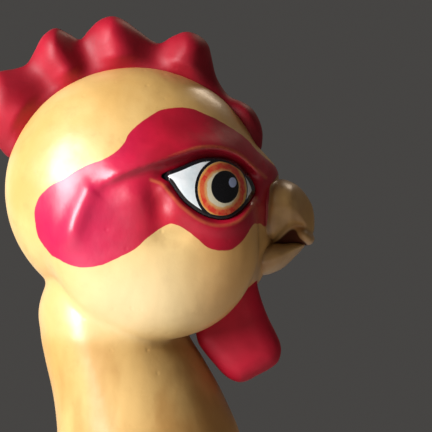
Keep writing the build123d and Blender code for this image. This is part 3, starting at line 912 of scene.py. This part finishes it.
# painted shade for the beaks
BEAK_PAINTED_SHADE = (0.36, 0.185, 0.075)
# painted shade for the crease at the beak's root
CREASE_SHADE = (0.10, 0.022, 0.012)
# painted shade for the mouth
MOUTH_SHADE = (0.075, 0.024, 0.014)
INK = (0.006, 0.006, 0.008)
RED_BRIGHT = (0.56, 0.008, 0.034)
RED_DULL = (0.40, 0.006, 0.022)
# painted shade in the reds: the comb's flutes, round the eye and under the brow
RED_PAINTED_SHADE = (0.20, 0.004, 0.011)
# painted sheen on the red mask
MASK_PAINTED_SHEEN = (0.70, 0.018, 0.15)
WORN = (0.62, 0.15, 0.055)
EYE_WHITE = (0.86, 0.92, 0.93)
EYE_GREY = (0.62, 0.75, 0.78)
IRIS_CREAM = (0.82, 0.76, 0.54)
IRIS_OCHRE = (0.84, 0.44, 0.16)
IRIS_RED = (0.82, 0.060, 0.036)
IRIS_ORANGE = (0.86, 0.20, 0.06)
IRIS_RIM = (0.84, 0.42, 0.10)
GLINT_BLUE = (0.50, 0.60, 0.92)
LEG_BRIGHT = (0.86, 0.36, 0.05)
LEG_DULL = (0.66, 0.22, 0.03)
LEG_SPECK = (0.45, 0.13, 0.03)
CLAW = (0.16, 0.09, 0.05)
SHELL_PALE, SHELL_DULL = (0.82, 0.80, 0.74), (0.74, 0.72, 0.65)
FILM_PALE, FILM_DULL = (0.70, 0.72, 0.66), (0.58, 0.60, 0.54)
FLOOR_PALE, FLOOR_DULL = (0.72, 0.71, 0.69), (0.66, 0.65, 0.63)


def skin_colour(paint):
    """Sprayed latex: pale yellow with warmer clouds, a few faint brown freckles and painted
    shade on the neck.
    """
    clouds = paint.ramp(paint.noise(38, 4.0, 0.55), 0.35, 0.72)
    colour = paint.blend(clouds, SKIN_PALE, SKIN_WARM)
    mottle = paint.ramp(paint.noise(4.5, 5.0, 0.6), 0.50, 0.78, 0.0, 0.30)
    colour = paint.blend(mottle, colour, FRECKLE)
    streaks = paint.ramp(paint.noise(10, 3.0, 0.5, stretch=(1, 1, 0.45)), 0.34, 0.66, 0.50, 1.0)
    # painted shade on the neck, broken into streaks
    shade = paint.math("MULTIPLY", paint.attribute("neck"), streaks)
    return paint.blend(shade, colour, NECK_PAINTED_SHADE)


def red_colour(paint):
    """Brushed red: brighter and deeper patches of one coat."""
    clouds = paint.ramp(paint.noise(16, 4.0, 0.55), 0.32, 0.70)
    return paint.blend(clouds, RED_BRIGHT, RED_DULL)


def rubber_surface(paint, low=0.30, high=0.46):
    """The moulding's fine grain, small pits and soft waves, and how its gloss varies."""
    paint.roughness(paint.noise(9, 5.0, 0.6), low, high)
    paint.bump(paint.noise(11, 2.0, 0.4), 0.55)
    paint.bump(paint.noise(1.1, 3.0, 0.6), 0.035)
    paint.bump(paint.ramp(paint.cells(5.2), 0.0, 0.16, 0.0, 1.0), 0.05)


def neck_gloss(paint):
    """1 on glossy skin, less where the neck's painted shade lies."""
    return paint.ramp(paint.attribute("neck"), 0.0, 0.7, 1.0, 0.35)


def glossy(paint, share):
    """Gloss that follows a value of 0..1, in the clear coat and under it."""
    for name, most in (("Coat Weight", 0.30), ("Specular IOR Level", 0.50)):
        paint.links.new(paint.math("MULTIPLY", share, most), paint.shader.inputs[name])


def skin_paint():
    """The plain skin."""
    paint = Paint("skin", 0.34, coat=0.30, coat_roughness=0.22)
    paint.colour(skin_colour(paint))
    rubber_surface(paint)
    return paint.material


def plucked_paint():
    """The body's skin, a little redder on each plucked bump."""
    paint = Paint("plucked_skin", 0.36, coat=0.30, coat_roughness=0.22)
    paint.colour(paint.blend(paint.share_of("follicle", 0.45), skin_colour(paint), BLUSH))
    glossy(paint, neck_gloss(paint))
    rubber_surface(paint)
    return paint.material


def leg_paint():
    """Orange legs with duller clouds and brown specks, and dark claws."""
    paint = Paint("leg", 0.36, coat=0.3, coat_roughness=0.2)
    clouds = paint.ramp(paint.noise(12, 4.0), 0.35, 0.7)
    colour = paint.blend(clouds, LEG_BRIGHT, LEG_DULL)
    specks = paint.ramp(paint.noise(1.6, 4.0, 0.6), 0.55, 0.75, 0.0, 0.4)
    colour = paint.blend(specks, colour, LEG_SPECK)
    claw = paint.ramp(paint.attribute("claw"), 0.25, -0.25)
    paint.colour(paint.blend(claw, colour, CLAW))
    paint.roughness(paint.noise(4, 4.0), 0.28, 0.46)
    paint.bump(paint.noise(0.9, 4.0, 0.6), 0.06)
    paint.bump(paint.ramp(paint.cells(2.6), 0.1, 0.6), 0.10)
    return paint.material


def plastic_paint(name, light, dark):
    """Moulded plastic with a satin grain and faint flow marks."""
    paint = Paint(name, 0.4)
    flow = paint.ramp(paint.noise(5, 3.0, 0.5, stretch=(1, 1, 0.25)), 0.3, 0.7)
    paint.colour(paint.blend(flow, light, dark))
    paint.roughness(paint.noise(1.5, 4.0), 0.34, 0.5)
    paint.bump(paint.noise(0.35, 2.0), 0.02)
    return paint.material


def mask_colour(paint):
    """The red mask: a painted pink sheen toward the temple, painted shade round the eye and
    under the brow, and worn orange along its folds."""
    crest = paint.math("MINIMUM", paint.attribute("brow"), paint.attribute("lid"))
    crest_wear = paint.ramp(crest, 0.05, 0.75, 0.62, 0.0)
    patches = paint.ramp(paint.noise(8, 3.0, 0.5), 0.24, 0.50, 0.35, 1.0)
    worn = paint.math("MULTIPLY", crest_wear, patches)
    # painted shade round the eye's outline and under the brow
    deep = paint.ramp(paint.attribute("eye"), 0.2, 2.0, 0.20, 0.0)
    under_brow_shade = paint.ramp(paint.attribute("under_brow_shade"), 0.2, 1.5, 0.10, 0.0)
    # painted pink sheen toward the temple
    colour = paint.blend(paint.share_of("mask_sheen", 0.36), red_colour(paint), MASK_PAINTED_SHEEN)
    colour = paint.blend(deep, colour, RED_PAINTED_SHADE)
    colour = paint.blend(under_brow_shade, colour, RED_PAINTED_SHADE)
    return paint.blend(worn, colour, WORN)


def face_colour(paint, mask_edge):
    """The head's skin: warmer round the mask, with a painted highlight on the cheek, painted
    warm shade in front and painted shade on the beak."""
    round_mask = paint.ramp(mask_edge, 0.0, 3.5, 0.22, 0.0)
    # painted shade on the beak, in patches
    beak_shade_patches = paint.ramp(paint.noise(6, 4.0), 0.3, 0.7, 0.45, 0.75)
    beak_shade = paint.math("MULTIPLY", paint.attribute("beak_shade"), beak_shade_patches)
    colour = paint.blend(round_mask, skin_colour(paint), SKIN_WARM)
    # painted highlight on the cheek
    colour = paint.blend(paint.share_of("pale", 0.70), colour, CHEEK_PAINTED_LIGHT)
    # painted warm shade on the front
    colour = paint.blend(paint.share_of("tan", 0.55), colour, FRONT_PAINTED_SHADE)
    return paint.blend(beak_shade, colour, BEAK_PAINTED_SHADE)


def head_paint():
    """The head's skin with its red mask, painted shade in the beak's crease and in the mouth,
    and the eye's outline."""
    paint = Paint("head_skin_paint", 0.34, coat=0.30, coat_roughness=0.22)
    wobble = paint.ramp(paint.noise(7, 3.0), 0.3, 0.7, -0.22, 0.22, soft=False)
    mask_edge = paint.math("ADD", paint.attribute("mask"), wobble)
    in_mask = paint.ramp(mask_edge, 0.10, -0.10)
    # painted shade in the beak's crease
    crease = paint.ramp(paint.attribute("crease"), 0.10, 1.2, 0.35, 0.0)
    # painted shade in the mouth
    mouth = paint.ramp(paint.attribute("mouth"), 0.35, -0.35)
    outline = paint.ramp(paint.attribute("eye"), 0.34, 0.22)
    colour = paint.blend(in_mask, face_colour(paint, mask_edge), mask_colour(paint))
    for share, over_colour in ((crease, CREASE_SHADE), (mouth, MOUTH_SHADE), (outline, INK)):
        colour = paint.blend(share, colour, over_colour)
    paint.colour(colour)
    gloss = paint.math("MINIMUM", paint.ramp(paint.attribute("mouth"), -0.35, 0.35),
                       paint.ramp(paint.attribute("eye"), 0.3, 1.8))
    glossy(paint, paint.math("MINIMUM", gloss, neck_gloss(paint)))
    rubber_surface(paint)
    return paint.material


def red_paint():
    """The comb's and wattles' red; the comb carries painted shade, deepest in its flutes, on
    each lobe's forward side and toward its front.
    """
    paint = Paint("red", 0.5)
    fill(paint.shader, {"Specular IOR Level": 0.34})
    paint.colour(paint.blend(paint.share_of("comb_shade", 0.80), red_colour(paint), RED_PAINTED_SHADE))
    rubber_surface(paint, 0.46, 0.60)
    return paint.material


def eye_paint():
    """Hand-painted eye: white, ringed iris, pupil and a pale highlight, outlined in black."""
    paint = Paint("eye", 0.26, coat=0.35, coat_roughness=0.14)
    brush = paint.noise(2.4, 4.0, 0.6)
    white = paint.blend(paint.ramp(paint.noise(5, 3.0), 0.4, 0.8), EYE_WHITE, EYE_GREY)
    iris = paint.attribute("iris")
    hand_drawn = paint.math("ADD", iris, paint.ramp(brush, 0.2, 0.8, -0.05, 0.05, soft=False))
    streaks = paint.ramp(paint.noise(1.5, 3.0, 0.5), 0.42, 0.62, 0.0, 0.75)
    ring = paint.blend(streaks, IRIS_RED, IRIS_ORANGE)
    colour = IRIS_CREAM
    for value, start, end, over_colour in (
            (hand_drawn, 0.60, 0.68, IRIS_OCHRE), (hand_drawn, 0.68, 0.78, ring),
            (hand_drawn, 0.90, 0.96, IRIS_RIM), (iris, 0.99, 1.01, white),
            (paint.attribute("pupil"), 1.02, 0.98, INK),
            (paint.attribute("glint"), 1.06, 0.94, GLINT_BLUE),
            (paint.attribute("ring"), 0.06, -0.06, INK),
            (paint.attribute("eye"), -0.92, -0.80, INK)):
        colour = paint.blend(paint.ramp(value, start, end), colour, over_colour)
    paint.colour(colour)
    paint.roughness(paint.noise(3, 4.0), 0.20, 0.32)
    paint.bump(brush, 0.03)
    return paint.material


# ---------------------------- stage

WORLD_COLOUR = (0.88, 0.84, 0.80, 1)
WORLD_STRENGTH = 0.07
FLOOR_REACH = 6.0
HEAD_PLACE = (0.0, 0.0, 0.09)
BODY_PLACE = (0.0, 0.0, -0.1)
VIEW_CENTRE = (0.01782, 0.09855)
VIEW_WIDTH = 0.11664
VIEW_DISTANCE = 0.9
SENSOR_WIDTH = 36.0


def make_floor():
    """A pale floor just under the feet."""
    mesh = bpy.data.meshes.new("floor")
    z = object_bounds()[0][2] - 0.5 * MM
    square = ((-1, -1), (1, -1), (1, 1), (-1, 1))
    corners = [(x * FLOOR_REACH, y * FLOOR_REACH, z) for x, y in square]
    mesh.from_pydata(corners, [], [(0, 1, 2, 3)])
    floor = add_object("floor", mesh)
    paint = Paint("floor", 0.75)
    clouds = paint.ramp(paint.noise(300, 3.0), 0.3, 0.7)
    paint.colour(paint.blend(clouds, FLOOR_PALE, FLOOR_DULL))
    mesh.materials.append(paint.material)


def lamp(name, location, target, size, power, colour):
    """A soft rectangular lamp that points at its target."""
    light = bpy.data.lights.new(name, "AREA")
    light.shape = "RECTANGLE"
    light.size, light.size_y = size
    light.energy = power
    light.color = colour
    obj = add_object(name, light)
    obj.location = location
    aim = Vector(target) - Vector(location)
    obj.rotation_euler = aim.to_track_quat("-Z", "Y").to_euler()


def light_scene():
    """A dim studio, a strong key from behind the head's shoulder, and weak lamps round it."""
    world = bpy.data.worlds.new("studio")
    world.use_nodes = True
    background = world.node_tree.nodes["Background"]
    fill(background, {"Color": WORLD_COLOUR, "Strength": WORLD_STRENGTH})
    bpy.context.scene.world = world
    bpy.context.scene.view_settings.view_transform = "Standard"
    lamp("key", (-0.79, -0.52, 0.33), HEAD_PLACE, (0.36, 0.74), 19.5, (0.99, 0.96, 0.98))
    lamp("fill", (-0.2, -1.4, -0.1), BODY_PLACE, (1.2, 1.2), 1.7, (1.0, 0.81, 0.60))
    lamp("back", (-0.7, 1.3, 0.1), BODY_PLACE, (1.2, 1.2), 2.2, (1.0, 0.96, 0.92))
    lamp("top", (0.36, 0.55, 0.72), HEAD_PLACE, (0.22, 0.22), 1.0, (1.0, 0.82, 0.62))


def set_camera():
    """A level view of the head from its right side."""
    lens = bpy.data.cameras.new("camera")
    lens.sensor_width = SENSOR_WIDTH
    lens.lens = SENSOR_WIDTH * VIEW_DISTANCE / VIEW_WIDTH
    lens.clip_start = 0.02
    lens.clip_end = 50.0
    camera = add_object("camera", lens)
    camera.location = (VIEW_CENTRE[0], -VIEW_DISTANCE, VIEW_CENTRE[1])
    camera.rotation_euler = (math.radians(90), 0, 0)
    bpy.context.scene.camera = camera


# ---------------------------- assembly

def finish_piece(obj, body, look, *nodes):
    """Gives the piece its body and material, and the nodes it stands for."""
    slot, material = look
    obj.data.materials.append(material)
    if isinstance(body, str):
        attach(obj, body)
    else:
        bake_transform(obj)
    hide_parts(*nodes)


RED = ("red_rubber", red_paint())
SKIN = ("skin_rubber", skin_paint())
HEAD = ("skin_rubber", head_paint())
EYE = ("eye_paint", eye_paint())
BODY = ("skin_rubber", plucked_paint())
LEG = ("leg_rubber", leg_paint())
NAPE_BEND = ("head", "neck", (0, 0, 62), (0, 0, 10))
NECK_BEND = ("neck", "torso", (0, 0, -10), (0, 0, -62))
TAIL_BEND = ("torso", "tail", TAIL_PIVOT, TAIL_PIVOT + TAIL_AXIS * 18)
finish_piece(make_head(), NAPE_BEND, HEAD, "head_skin")
finish_piece(make_comb(), "head", RED, "comb")
finish_piece(make_upper_beak(), "head", HEAD, "upper_beak")
finish_piece(make_lower_beak(), "jaw", HEAD, "lower_beak")
for side in ("left", "right"):
    finish_piece(make_eye(side), "head", EYE, "eye_" + side)
    finish_piece(make_wattle(side), "wattle_" + side, RED, "wattle_" + side)

finish_piece(make_torso(), NECK_BEND, BODY, "neck_skin", "torso_skin")
finish_piece(make_tail(), TAIL_BEND, BODY, "tail")
finish_piece(make_collar(), "torso", SKIN, "vent_collar")
for side, sign in (("left", 1), ("right", -1)):
    thigh, shank, foot = "thigh_" + side, "shank_" + side, "foot_" + side
    x, y = HIP[0], HIP[1] * sign
    hock_bend = (thigh, shank, (x, y, HOCK_Z + 9), (x, y, HOCK_Z - 13))
    ankle_bend = (shank, foot, (x, y, ANKLE_Z + 9), (x, y, ANKLE_Z - 9))
    finish_piece(make_wing(side), "wing_" + side, BODY, "wing_" + side)
    finish_piece(make_thigh(side), thigh, BODY, "thigh_skin_" + side)
    finish_piece(make_shank(side), hock_bend, LEG, shank)
    finish_piece(make_foot(side), ankle_bend, LEG, foot)

SHELL = plastic_paint("squeaker_shell", SHELL_PALE, SHELL_DULL)
FILM = plastic_paint("reed_strip", FILM_PALE, FILM_DULL)
for name in ("squeaker_housing", "squeaker_cap", "reed_block", "reed_clip", "reed"):
    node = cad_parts[name]
    node.data.materials.clear()
    node.data.materials.append(FILM if name == "reed" else SHELL)

make_floor()
light_scene()
set_camera()
